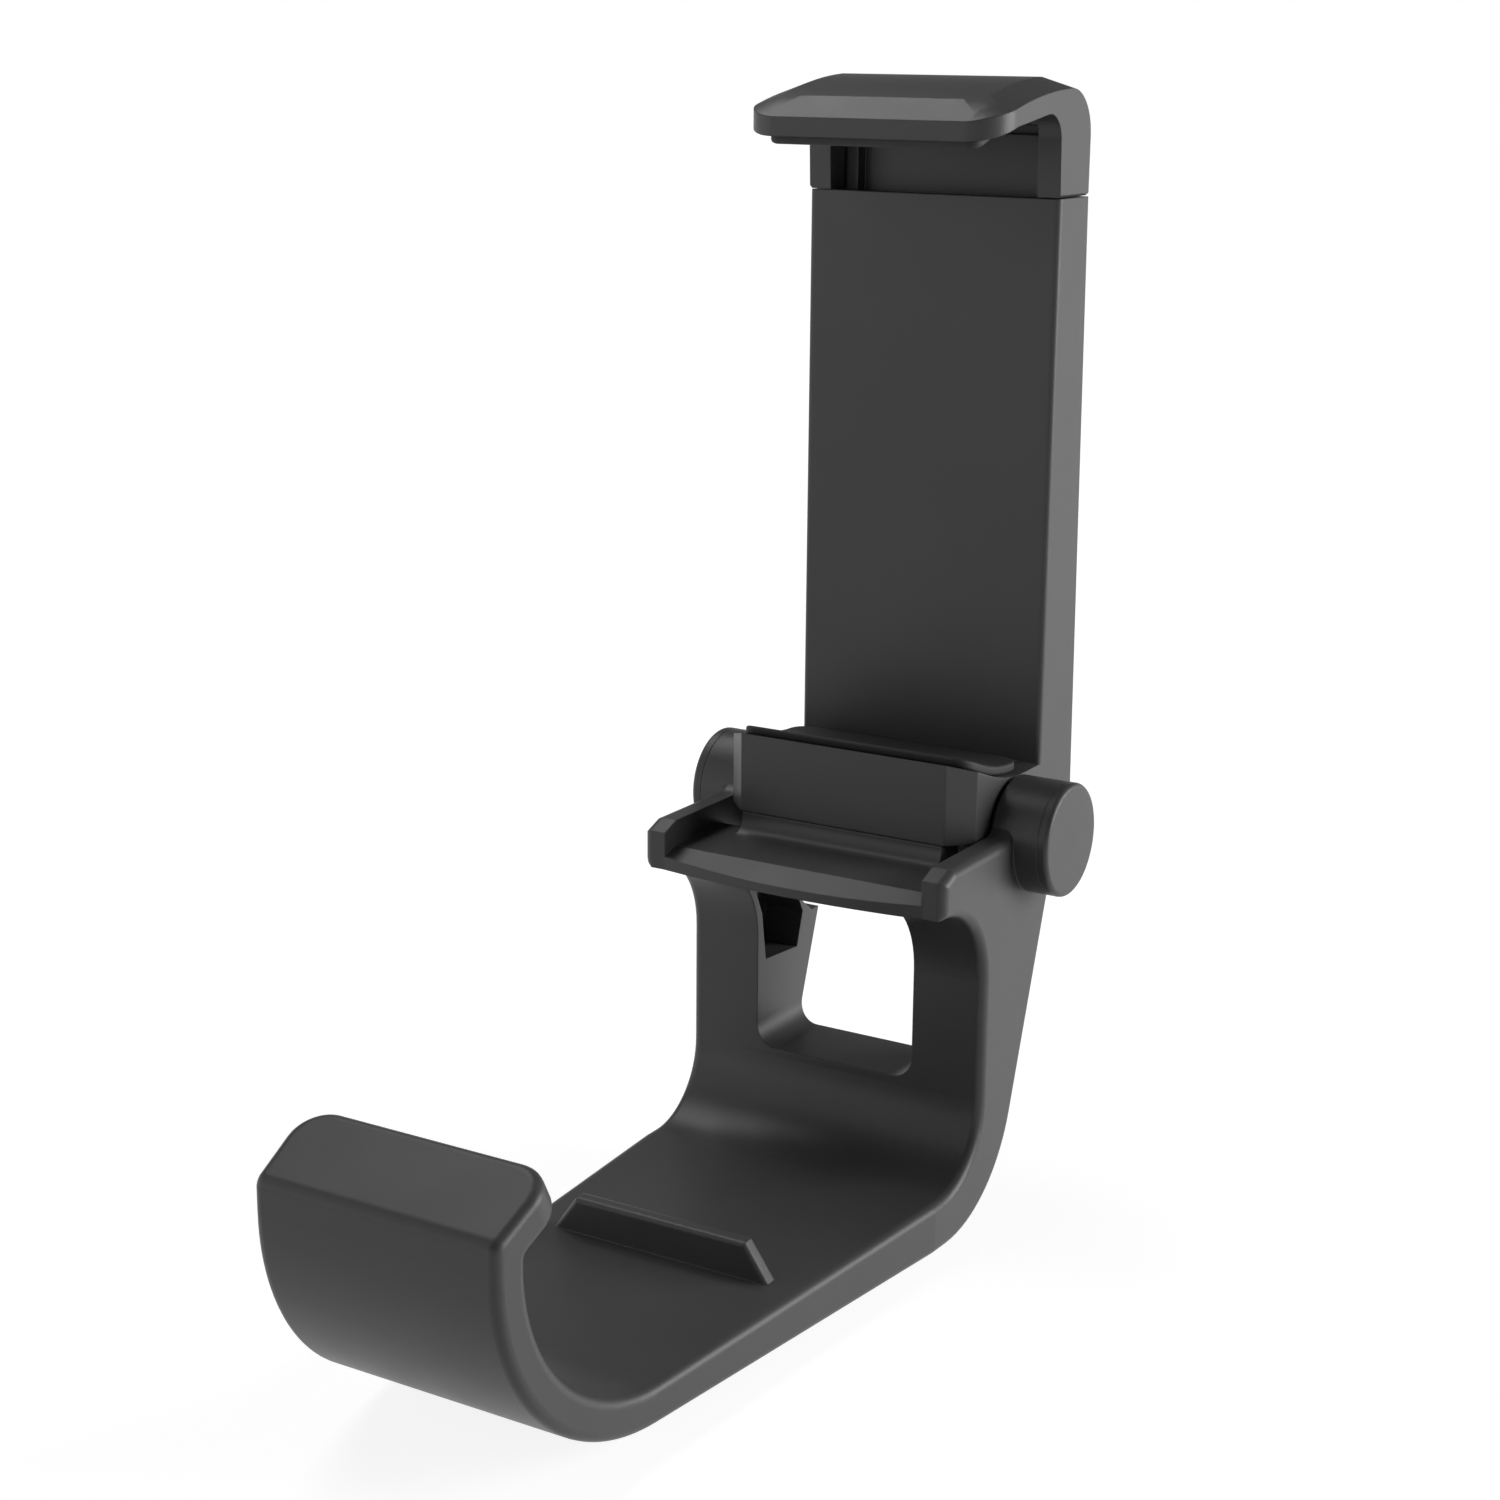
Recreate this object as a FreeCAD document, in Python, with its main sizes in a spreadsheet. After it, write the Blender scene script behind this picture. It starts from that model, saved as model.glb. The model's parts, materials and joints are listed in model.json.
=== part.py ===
import FreeCAD, Part
import os
import Sketcher
from types import SimpleNamespace

# Controller phone clip, in millimetres: x right, y back, z up.
# The origin is the middle of the controller's seat on the cradle floor.

SIZES = [
    # fits
    ("running_fit", 0.08),
    ("slip_fit", 0.1),
    # cradle, side view
    ("hook_front", 49.7),
    ("hook_wall", 4.0),
    ("crease_height", 21.8),
    ("crease_step", 2.2),
    ("lip_reach", 8.2),
    ("lip_rise", 4.1),
    ("lip_end_run", 1.7),
    ("lip_end_drop", 3.4),
    ("toe_drop", 3.3),
    ("heel_drop", 6.1),
    ("heel_run", 4.1),
    ("heel_radius", 15.0),
    ("leg_front", 29.7),
    ("floor_rear_radius", 8.0),
    ("horn_reach", 10.0),
    ("horn_bevel_run", 2.3),
    ("horn_bevel_drop", 0.9),
    ("horn_drop", 3.9),
    ("ear_rise", 1.1),
    ("crease_radius", 1.5),
    ("ear_corner_radius", 2.0),
    ("tip_corner_radius", 3.6),
    ("edge_radius", 1.0),
    # cradle, across
    ("ear_wall", 2.7),
    ("front_taper", 5.1),
    ("shelf_thick", 2.2),
    ("shelf_overhang", 2.2),
    ("shelf_bow", 1.2),
    ("shelf_bevel_run", 3.2),
    ("shelf_bevel_drop", 1.2),
    ("stop_depth", 3.8),
    ("stop_foot_radius", 1.8),
    ("stop_gap", 0.08),
    ("stop_inset", 0.2),
    ("window_half", 9.7),
    ("window_sill", 8.9),
    ("window_corner", 2.5),
    ("leg_pocket_margin", 1.0),
    ("rib_half", 12.7),
    ("rib_top_half", 10.0),
    ("rib_height", 3.8),
    ("rib_back", 3.7),
    ("rib_thick", 1.8),
    ("rib_radius", 0.5),
    # hinge
    ("hinge_run", 11.9),
    ("hinge_height", 34.9),
    ("barrel_radius", 6.2),
    ("barrel_step", 2.7),
    ("cap_thick", 1.2),
    ("cap_radius", 0.5),
    ("spigot_wall", 0.8),
    ("spigot_length", 1.0),
    ("counterbore_radius", 4.7),
    ("ear_floor", 2.1),
    ("bolt_radius", 1.5),
    ("bolt_head_radius", 2.75),
    ("bolt_head_height", 2.0),
    ("bolt_socket", 1.25),
    ("nut_flats", 5.5),
    ("nut_height", 1.7),
    ("bolt_washer_radius", 3.2),
    ("bolt_washer_thick", 0.5),
    ("spring_washer_radius", 2.8),
    ("spring_washer_thick", 0.7),
    ("friction_washer_radius", 5.2),
    ("friction_washer_thick", 0.5),
    ("cheek_radius", 5.3),
    ("knuckle_play", 0.2),
    ("knuckle_radius", 4.6),
    ("flange_thick", 1.5),
    # holder
    ("holder_half", 15.0),
    ("block_rise", 0.6),
    ("lip_front_run", 11.2),
    ("jaw_lip_height", 8.8),
    ("jaw_lip_chamfer", 2.5),
    ("channel_run", 9.8),
    ("channel_fall", 3.55),
    ("channel_rise", 0.05),
    ("plate_run", 6.4),
    ("plate_height", 66.1),
    ("plate_radius", 0.6),
    ("case_depth_top", 7.0),
    ("case_depth_low", 8.5),
    ("case_chamfer", 1.2),
    ("plate_wall", 1.8),
    ("side_wall", 2.0),
    ("cavity_rise", 8.0),
    ("cover_thick_top", 1.3),
    ("boss_radius", 2.2),
    ("boss_inset", 2.6),
    ("boss_low", 5.0),
    ("boss_pitch", 13.5),
    ("screw_radius", 1.0),
    ("screw_head_radius", 1.9),
    ("screw_head_height", 0.9),
    ("knuckle_screw_across", 7.0),
    ("knuckle_screw_back", 2.2),
    ("knuckle_screw_length", 6.0),
    ("pad_gap", 0.05),
    ("pad_margin", 1.0),
    ("pad_front", 2.0),
    ("pad_back", 2.7),
    ("pad_thick", 1.1),
    ("pad_corner", 2.0),
    # slider
    ("jaw_seam", 0.1),
    ("jaw_reach", 15.0),
    ("jaw_front_low", 6.0),
    ("jaw_front_height", 2.0),
    ("jaw_bevel_run", 3.2),
    ("jaw_bevel_rise", 2.1),
    ("jaw_crown_radius", 58.0),
    ("jaw_top", 12.2),
    ("jaw_rear_radius", 6.0),
    ("jaw_corner_radius", 4.0),
    ("jaw_inner_radius", 2.8),
    ("jaw_chamfer_wide", 3.3),
    ("jaw_chamfer_high", 1.1),
    ("jaw_under_run", 4.2),
    ("jaw_under_rise", 1.45),
    ("jaw_inner_rise", 3.0),
    ("jaw_edge_break", 0.3),
    ("arm_lean", 0.4),
    ("arm_wall", 2.6),
    ("jaw_back_wall", 1.55),
    ("recess_height", 7.3),
    ("jaw_pad_margin", 2.7),
    ("jaw_pad_front", 0.9),
    ("jaw_pad_depth", 10.4),
    ("jaw_pad_thick", 1.15),
    ("jaw_pad_corner", 1.5),
    ("rail_clear", 0.3),
    ("rail_width", 1.4),
    ("rail_depth", 2.4),
    ("guide_width", 1.5),
    ("tongue_panel", 0.8),
    ("tongue_clear", 1.8),
    ("tongue_top", 6.2),
    ("tongue_notch", 4.0),
    ("tongue_screw_across", 7.0),
    ("tongue_screw_height", 2.8),
    # springs
    ("spring_clear", 0.7),
    ("spring_radius", 1.5),
    ("spring_groove", 0.45),
    ("spring_tail", 0.45),
    ("pin_radius", 0.6),
    ("pin_rise", 1.3),
    ("pin_bite", 0.9),
]

COILS = 18

doc = FreeCAD.newDocument("controller_phone_clip")


# Sizes

class Size(float):
    """A number that remembers how it is worked out from the sheet."""

    def __new__(cls, value, formula):
        size = super().__new__(cls, value)
        size.formula = formula
        return size

    def __add__(self, other):
        return Size(float(self) + float(other), f"({formula(self)} + {formula(other)})")

    def __radd__(self, other):
        return Size(float(other) + float(self), f"({formula(other)} + {formula(self)})")

    def __sub__(self, other):
        return Size(float(self) - float(other), f"({formula(self)} - {formula(other)})")

    def __rsub__(self, other):
        return Size(float(other) - float(self), f"({formula(other)} - {formula(self)})")

    def __mul__(self, other):
        return Size(float(self) * float(other), f"({formula(self)} * {formula(other)})")

    def __rmul__(self, other):
        return Size(float(other) * float(self), f"({formula(other)} * {formula(self)})")

    def __truediv__(self, other):
        return Size(float(self) / float(other), f"({formula(self)} / {formula(other)})")

    def __neg__(self):
        return Size(-float(self), f"(0 - {formula(self)})")


def formula(value):
    """The sheet formula of a size, or a plain number as text."""
    if isinstance(value, Size):
        return value.formula
    return f"({float(value):.9g})"


def read_sheet():
    """Put every size in the sheet under its name, and return them by name."""
    sheet = doc.addObject("Spreadsheet::Sheet", "Sizes")
    found = {}
    for row, (name, value) in enumerate(SIZES, 1):
        sheet.set(f"A{row}", name)
        sheet.set(f"B{row}", str(value))
        sheet.setAlias(f"B{row}", name)
        found[name] = Size(value, f"Sizes.{name}")
    doc.recompute()
    return SimpleNamespace(**found)


s = read_sheet()


# Drawing helpers

def new_body(label, place=(0, 0, 0)):
    """Start a sub-part, placed by the sheet."""
    body = doc.addObject("PartDesign::Body", label)
    body.Label = label
    put(body, place)
    return body


def put(item, place):
    for axis, value in zip("xyz", place):
        item.setExpression(f"Placement.Base.{axis}", formula(value))


def new_sketch(body, name, role, offset):
    """An empty sketch on one of the body's own planes, shifted by an offset."""
    sketch = body.newObject("Sketcher::SketchObject", name)
    plane = next(item for item in body.Origin.OriginFeatures if item.Role == role)
    sketch.AttachmentSupport = [(plane, "")]
    sketch.MapMode = "FlatFace"
    for axis, value in zip("xyz", offset):
        sketch.setExpression(f"AttachmentOffset.Base.{axis}", formula(value))
    return sketch


def measure(sketch, constraint, value):
    """Add a measured constraint and bind it to its size."""
    index = sketch.addConstraint(constraint)
    sketch.setExpression(f"Constraints[{index}]", formula(value))


def pin(sketch, edge, end, across, up):
    """Hold one point of a sketch at its place."""
    for kind, axis, value in (("DistanceX", -2, across), ("DistanceY", -1, up)):
        if float(value) == 0:
            sketch.addConstraint(Sketcher.Constraint("PointOnObject", edge, end, axis))
        else:
            distance = Sketcher.Constraint(kind, -1, 1, edge, end, float(value))
            measure(sketch, distance, value)


def arc(start, end, radius):
    """A round edge that turns anticlockwise from start to end."""
    half = (end - start) / 2
    lift = (radius ** 2 - half.Length ** 2) ** 0.5
    inward = FreeCAD.Vector(-half.y, half.x, 0).normalize()
    centre = start + half + inward * lift
    return Part.Arc(start, centre - inward * radius, end)


def outline(body, name, role, *loops, offset=(0, 0, 0)):
    """Closed loops, each corner held at its place.

    A corner with a third number starts an arc of that radius that bulges outwards.
    """
    sketch = new_sketch(body, name, role, offset)
    for corners in loops:
        first = sketch.GeometryCount
        count = len(corners)
        points = [FreeCAD.Vector(float(corner[0]), float(corner[1]), 0) for corner in corners]
        turn = sum(points[i - 1].x * points[i].y - points[i].x * points[i - 1].y for i in range(count))
        sides = []
        for i, corner in enumerate(corners):
            start, end = points[i], points[(i + 1) % count]
            if len(corner) == 2:
                sketch.addGeometry(Part.LineSegment(start, end))
                sides.append((1, 2))
                continue
            radius = corner[2]
            if turn > 0:
                edge = sketch.addGeometry(arc(start, end, float(radius)))
                sides.append((1, 2))
            else:
                edge = sketch.addGeometry(arc(end, start, float(radius)))
                sides.append((2, 1))
            measure(sketch, Sketcher.Constraint("Radius", edge, float(radius)), radius)
        for i, corner in enumerate(corners):
            after = (i + 1) % count
            joint = (first + i, sides[i][1], first + after, sides[after][0])
            sketch.addConstraint(Sketcher.Constraint("Coincident", *joint))
            pin(sketch, first + i, sides[i][0], *corner[:2])
    return sketch


def circles(body, name, role, radius, *centres, offset=(0, 0, 0)):
    """Circles of one radius, each centre held at its place."""
    sketch = new_sketch(body, name, role, offset)
    for across, up in centres:
        middle = FreeCAD.Vector(float(across), float(up), 0)
        normal = FreeCAD.Vector(0, 0, 1)
        edge = sketch.addGeometry(Part.Circle(middle, normal, float(radius)))
        measure(sketch, Sketcher.Constraint("Radius", edge, float(radius)), radius)
        pin(sketch, edge, 3, across, up)
    return sketch


def box(left, right, low, high):
    return [(left, low), (right, low), (right, high), (left, high)]


def pad(body, name, sketch, length, middle=False, reverse=False):
    """Raise a sketch into solid material."""
    feature = body.newObject("PartDesign::Pad", name)
    feature.Profile = sketch
    feature.setExpression("Length", formula(length))
    feature.Midplane = middle
    feature.Reversed = reverse
    sketch.Visibility = False
    return feature


def pocket(body, name, sketch, length, middle=False, reverse=False):
    """Cut a sketch out of the body, and check that it took material away."""
    doc.recompute()
    before = body.Shape.Volume
    feature = body.newObject("PartDesign::Pocket", name)
    feature.Profile = sketch
    feature.setExpression("Length", formula(length))
    feature.Midplane = middle
    feature.Reversed = reverse
    sketch.Visibility = False
    doc.recompute()
    if not body.Shape.Volume < before - 0.001:
        raise RuntimeError(f"{name} cuts nothing")
    return feature


def turned(body, name, kind, sketch):
    """Turn a sketch once round its own horizontal axis."""
    feature = body.newObject(f"PartDesign::{kind}", name)
    feature.Profile = sketch
    feature.ReferenceAxis = (sketch, ["H_Axis"])
    feature.Angle = 360
    sketch.Visibility = False
    return feature


def matches(edge, place):
    """Whether both ends of an edge share the given coordinates, on either side of the middle."""
    ends = [vertex.Point for vertex in edge.Vertexes]
    if len(ends) != 2:
        return False
    if "x" in place and abs(ends[0].x - ends[1].x) > 0.01:
        return False
    for end in ends:
        for axis, value in place.items():
            there = abs(end.x) if axis == "x" else getattr(end, axis)
            if abs(there - float(value)) > 0.01:
                return False
    return True


def soften(body, name, size, wanted, kind="Fillet"):
    """Round or chamfer every edge of the body that is wanted."""
    doc.recompute()
    base = body.Tip
    found = []
    for number, edge in enumerate(base.Shape.Edges, 1):
        if wanted(edge):
            found.append(f"Edge{number}")
    if not found:
        raise RuntimeError(f"{name} finds no edge")
    feature = body.newObject(f"PartDesign::{kind}", name)
    feature.Base = (base, found)
    feature.setExpression("Radius" if kind == "Fillet" else "Size", formula(size))
    return feature


def round_at(body, name, radius, **place):
    return soften(body, name, radius, lambda edge: matches(edge, place))


# Places that several pieces share

hinge_y = s.leg_front + s.hinge_run
hinge_z = s.hinge_height
hinge = (0, hinge_y, hinge_z)

washer_face = s.holder_half
ear_face = washer_face + s.friction_washer_thick
cradle_half = ear_face + s.ear_wall
barrel_end = cradle_half + s.barrel_step
cap_end = barrel_end + s.cap_thick
bolt_seat = ear_face + s.ear_floor
leg_pocket_half = ear_face - s.leg_pocket_margin
pivot_bore = s.bolt_radius + s.running_fit

horn_front = s.leg_front - s.horn_reach
horn_under = hinge_z - s.horn_drop
ear_top = hinge_z + s.ear_rise
shelf_top = horn_under + s.shelf_thick

block_low = hinge_z + s.block_rise
jaw_lip_front = hinge_y - s.lip_front_run
jaw_lip_top = block_low + s.jaw_lip_height
plate_front = hinge_y + s.plate_run
plate_top = block_low + s.plate_height
case_back_top = plate_front + s.case_depth_top
case_back_low = plate_front + s.case_depth_low
cavity_front = plate_front + s.plate_wall
cavity_low = block_low + s.cavity_rise
cavity_half = s.holder_half - s.side_wall
cover_front = case_back_top - s.cover_thick_top

channel_low_y = jaw_lip_front + s.channel_run
channel_low_z = jaw_lip_top - s.channel_fall
channel_back_z = channel_low_z + s.channel_rise
pad_back = plate_front - s.pad_back
channel_radius = 4.6 * (pad_back - channel_low_y)

jaw_low = plate_top + s.jaw_seam
jaw_back = case_back_top
jaw_front = plate_front - s.jaw_reach
jaw_front_low = jaw_low + s.jaw_front_low
recess_half = s.holder_half - s.arm_wall
recess_back = jaw_back - s.jaw_back_wall
recess_top = jaw_low + s.recess_height

rail_back = recess_back - 0.05
rail_front = rail_back - s.rail_depth
rail_outer = recess_half - s.rail_clear
rail_inner = rail_outer - s.rail_width
panel_front = rail_back - s.tongue_panel
tongue_high = jaw_low + s.tongue_top
tongue_low = cavity_low + s.boss_low + s.boss_pitch + s.boss_radius + s.tongue_clear

pin_y = (rail_front + panel_front) / 2 + 0.2
pin_low = cavity_low + s.pin_rise
pin_high = tongue_low + s.tongue_notch / 3

knuckle_room = cavity_half - s.knuckle_play
knuckle_half = knuckle_room - s.knuckle_play
flange_front = hinge_y - s.knuckle_radius - 0.5
flange_high = block_low - s.slip_fit
flange_low = flange_high - s.flange_thick
knuckle_screw_y = plate_front + s.knuckle_screw_back
flange_back = knuckle_screw_y + s.screw_head_radius + 0.6

boss_across = cavity_half - s.boss_inset
spring_across = boss_across - s.boss_radius - s.spring_clear - s.spring_radius
boss_spots = []
for boss_z in (cavity_low + s.boss_low, cavity_low + s.boss_low + s.boss_pitch):
    boss_spots.append((-boss_across, boss_z))
    boss_spots.append((boss_across, boss_z))
cover_screw_seat = cover_front + s.cover_thick_top * 0.9
tongue_screw_z = jaw_low + s.tongue_screw_height
tongue_screw_seat = jaw_back - s.screw_head_height
screw_bore = s.screw_radius + s.slip_fit
screw_head_bore = s.screw_head_radius + s.slip_fit * 2


# Cradle

def cradle_frame():
    """The moulded hook, with legs, horns, shelf, ears and barrels."""
    body = new_body("cradle_frame")
    tip_y = s.hook_front - s.lip_reach
    tip_z = s.crease_height + s.lip_rise
    inner_y = s.hook_front - s.hook_wall
    bend_z = s.crease_height - s.crease_step
    heel_y = s.leg_front + s.heel_run
    ear_crest = hinge_z + s.barrel_radius / 2
    ear_corner = hinge_y - s.barrel_radius * 0.985
    side = [
        (-tip_y, tip_z),
        (-s.hook_front, s.crease_height),
        (-s.hook_front, -s.toe_drop),
        (heel_y, -s.heel_drop),
        (hinge_y + s.barrel_radius * 0.97, hinge_z),
        (hinge_y, ear_crest),
        (hinge_y - s.barrel_radius * 0.86, ear_crest),
        (ear_corner, ear_top),
        (horn_front + s.horn_bevel_run, ear_top),
        (horn_front, ear_top - s.horn_bevel_drop),
        (horn_front, horn_under),
        (s.leg_front, horn_under),
        (s.leg_front, 0),
        (-inner_y, 0),
        (-inner_y, bend_z),
        (s.lip_end_run - tip_y, tip_z - s.lip_end_drop),
    ]
    pad(body, "hook", outline(body, "hook_side", "YZ_Plane", side), cradle_half * 2, middle=True)

    corners = [
        ("floor_front_round", bend_z * 0.95, -inner_y, 0),
        ("floor_rear_round", s.floor_rear_radius, s.leg_front, 0),
        ("throat_round", s.horn_reach * 0.95, s.leg_front, horn_under),
        ("toe_round", (s.crease_height + s.toe_drop) * 0.9, -s.hook_front, -s.toe_drop),
        ("heel_round", s.heel_radius, heel_y, -s.heel_drop),
        ("ear_corner_round", s.ear_corner_radius, ear_corner, ear_top),
        ("crease_round", s.crease_radius, -s.hook_front, s.crease_height),
        ("bend_round", s.crease_radius / 2, -inner_y, bend_z),
    ]
    for name, radius, y, z in corners:
        round_at(body, name, radius, y=y, z=z)

    slope = s.front_taper / (horn_front + s.hook_front)
    far = s.hook_front + 2
    narrow = cradle_half - slope * (horn_front + far)
    wide = cradle_half + 2
    right = [(cradle_half, horn_front), (narrow, -far), (wide, -far), (wide, horn_front)]
    left = [(-across, along) for across, along in right]
    taper = outline(body, "taper_plan", "XY_Plane", right, left)
    pocket(body, "taper", taper, s.hinge_height * 4, middle=True)

    def at_tip_corner(edge):
        ends = [vertex.Point for vertex in edge.Vertexes]
        spans = abs(ends[0].z - ends[-1].z) > s.lip_end_drop * 0.9
        level = min(end.z for end in ends) > tip_z - s.lip_end_drop - 0.05
        return len(ends) == 2 and spans and level and abs(ends[0].y) > tip_y - 3 and ends[0].y < 0

    soften(body, "tip_corner_round", s.tip_corner_radius, at_tip_corner)

    def half_at(y):
        return min(float(cradle_half), float(cradle_half) - float(slope) * (float(horn_front) - y))

    def on_side(edge):
        ends = [vertex.Point for vertex in edge.Vertexes]
        flat = all(abs(abs(end.x) - half_at(end.y)) < 0.02 for end in ends)
        same_side = len(ends) == 2 and ends[0].x * ends[1].x > 0
        joint = matches(edge, {"y": horn_front}) and min(end.z for end in ends) < -0.1
        return flat and same_side and not joint

    soften(body, "side_round", s.edge_radius, on_side)

    barrel = box(-barrel_end, barrel_end, 0, s.barrel_radius)
    turned(body, "barrels", "Revolution", outline(body, "barrel_half", "XY_Plane", barrel, offset=hinge))

    slot = [
        (horn_front - 5, horn_under),
        (s.leg_front + s.shelf_overhang, horn_under),
        (s.leg_front + s.shelf_overhang, horn_under - 2.5),
        (hinge_y - 3.6, horn_under - 6.8),
        (hinge_y - 0.1, horn_under - 9.5),
        (hinge_y + s.barrel_radius * 2, horn_under - 9.5),
        (hinge_y + s.barrel_radius * 2, hinge_z + s.barrel_radius * 2),
        (horn_front - 5, hinge_z + s.barrel_radius * 2),
    ]
    pocket(body, "fork_slot", outline(body, "fork_side", "YZ_Plane", slot), ear_face * 2, middle=True)

    seat = ear_face + 0.2
    shelf = [
        (seat, s.leg_front + s.shelf_overhang),
        (-seat, s.leg_front + s.shelf_overhang),
        (-seat, horn_front),
        (0, horn_front - s.shelf_bow * 2),
        (seat, horn_front),
    ]
    shelf_plan = outline(body, "shelf_plan", "XY_Plane", shelf, offset=(0, 0, horn_under))
    pad(body, "shelf", shelf_plan, s.shelf_thick)
    bow_radius = seat * seat / (s.shelf_bow * 2) * 0.96
    round_at(body, "shelf_bow_round", bow_radius, x=0, y=horn_front - s.shelf_bow * 2)

    bevel_front = horn_front - s.shelf_bow
    bevel_slope = s.shelf_bevel_drop / s.shelf_bevel_run
    bevel = [
        (bevel_front - 1, shelf_top - s.shelf_bevel_drop - bevel_slope),
        (bevel_front + s.shelf_bevel_run + 1, shelf_top + bevel_slope),
        (bevel_front - 1, shelf_top + bevel_slope),
    ]
    pocket(body, "shelf_bevel", outline(body, "bevel_side", "YZ_Plane", bevel), ear_face * 2, middle=True)

    stop_half = s.holder_half - s.jaw_lip_chamfer - s.stop_inset
    stop_top = block_low - s.stop_gap
    stop = box(-stop_half, stop_half, jaw_lip_front, jaw_lip_front + s.stop_depth)
    stop_low = shelf_top - s.shelf_thick / 2
    stop_plan = outline(body, "stop_plan", "XY_Plane", stop, offset=(0, 0, stop_low))
    pad(body, "stop", stop_plan, stop_top - stop_low)
    round_at(body, "stop_foot_round", s.stop_foot_radius, y=jaw_lip_front, z=shelf_top)

    leg_pocket = [
        (s.leg_front + 1.7, horn_under - 12.5),
        (hinge_y - 3.3, horn_under - 13),
        (hinge_y - 2.1, horn_under - 9.1),
        (hinge_y - 3.2, horn_under - 7.2),
        (hinge_y - 3.2, horn_under - 0.2),
        (s.leg_front - 0.6, horn_under - 0.2),
        (s.leg_front - 0.6, horn_under - 4),
        (s.leg_front + 0.8, horn_under - 6.9),
    ]
    pocket_side = outline(body, "leg_pocket_side", "YZ_Plane", leg_pocket)
    pocket(body, "leg_pockets", pocket_side, leg_pocket_half * 2, middle=True)

    window = box(-s.window_half, s.window_half, s.window_sill, horn_under - 0.2)
    window_front = outline(body, "window_front", "XZ_Plane", window, offset=(0, 0, -horn_front))
    pocket(body, "window", window_front, s.hinge_height * 2)

    def at_sill(edge):
        return matches(edge, {"x": s.window_half, "z": s.window_sill}) and edge.Length > 1

    soften(body, "window_corner_round", s.window_corner, at_sill)

    rib = [
        (-s.rib_half, -1),
        (s.rib_half, -1),
        (s.rib_half, 0),
        (s.rib_top_half, s.rib_height),
        (-s.rib_top_half, s.rib_height),
        (-s.rib_half, 0),
    ]
    rib_front = outline(body, "rib_front", "XZ_Plane", rib, offset=(0, 0, s.rib_back))
    pad(body, "rib", rib_front, s.rib_thick)

    def on_rib(edge):
        ends = [vertex.Point for vertex in edge.Vertexes]
        faces = (-float(s.rib_back), -float(s.rib_back + s.rib_thick))
        flat = all(min(abs(end.y - face) for face in faces) < 0.01 for end in ends)
        raised = max(end.z for end in ends) > float(s.rib_height) - 0.01
        return flat and raised and abs(ends[0].y - ends[-1].y) < 0.01

    soften(body, "rib_round", s.rib_radius, on_rib)

    side_bore = [
        (-barrel_end - 1, 0),
        (-barrel_end - 1, s.counterbore_radius),
        (-bolt_seat, s.counterbore_radius),
        (-bolt_seat, pivot_bore),
        (bolt_seat, pivot_bore),
        (bolt_seat, s.counterbore_radius),
        (barrel_end + 1, s.counterbore_radius),
        (barrel_end + 1, 0),
    ]
    turned(body, "bore", "Groove", outline(body, "bore_half", "XY_Plane", side_bore, offset=hinge))
    return body


# Hinge pieces, each placed on the hinge axis

def ring(label, inner, outer, start, end, side):
    """A washer from start to end along the hinge axis."""
    body = new_body(label, hinge)
    half = box(start * side, end * side, inner, outer)
    turned(body, "ring", "Revolution", outline(body, "ring_half", "XY_Plane", half))
    return body


def hinge_cap(label, side):
    """A round cap with a short spigot that plugs a barrel."""
    body = new_body(label, hinge)
    spigot = s.counterbore_radius - s.slip_fit
    half = [
        (barrel_end * side, 0),
        (barrel_end * side, spigot - s.spigot_wall),
        ((barrel_end - s.spigot_length) * side, spigot - s.spigot_wall),
        ((barrel_end - s.spigot_length) * side, spigot),
        (barrel_end * side, spigot),
        (barrel_end * side, s.barrel_radius),
        (cap_end * side, s.barrel_radius),
        (cap_end * side, 0),
    ]
    turned(body, "cap", "Revolution", outline(body, "cap_half", "XY_Plane", half))

    def at_rim(edge):
        ring_wide = abs(edge.BoundBox.YLength - 2 * float(s.barrel_radius)) < 0.1
        return ring_wide and edge.BoundBox.XLength < 0.01 and abs(edge.BoundBox.XMax * side) > float(cap_end) - 0.01

    soften(body, "cap_round", s.cap_radius, at_rim)
    return body


def hinge_bolt():
    """The bolt through both ears, its head in the right barrel."""
    body = new_body("hinge_bolt", hinge)
    nut_end = bolt_seat + s.bolt_washer_thick + s.spring_washer_thick + s.nut_height
    half = [
        (-nut_end - 0.1, 0),
        (-nut_end - 0.1, s.bolt_radius),
        (bolt_seat, s.bolt_radius),
        (bolt_seat, s.bolt_head_radius),
        (bolt_seat + s.bolt_head_height, s.bolt_head_radius),
        (bolt_seat + s.bolt_head_height, 0),
    ]
    turned(body, "shaft", "Revolution", outline(body, "shaft_half", "XY_Plane", half))
    seat = bolt_seat + s.bolt_head_height * 0.4
    socket = hexagon(s.bolt_socket * 2)
    key = outline(body, "socket_face", "YZ_Plane", socket, offset=(0, 0, seat))
    pocket(body, "socket", key, s.bolt_head_height, reverse=True)
    return body


def hexagon(flats):
    """Six corners with the given width across flats."""
    tall = flats / 2
    reach = flats * 0.57735027
    return [(reach, 0), (reach / 2, tall), (-reach / 2, tall), (-reach, 0), (-reach / 2, -tall), (reach / 2, -tall)]


def hinge_nut():
    """The nut at the bolt's left end."""
    start = bolt_seat + s.bolt_washer_thick + s.spring_washer_thick
    body = new_body("hinge_nut", (-start, hinge_y, hinge_z))
    pad(body, "nut", outline(body, "nut_face", "YZ_Plane", hexagon(s.nut_flats)), s.nut_height, reverse=True)
    hole = circles(body, "nut_hole_face", "YZ_Plane", pivot_bore, (0, 0))
    pocket(body, "nut_hole", hole, s.nut_height)
    return body


# Holder

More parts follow.
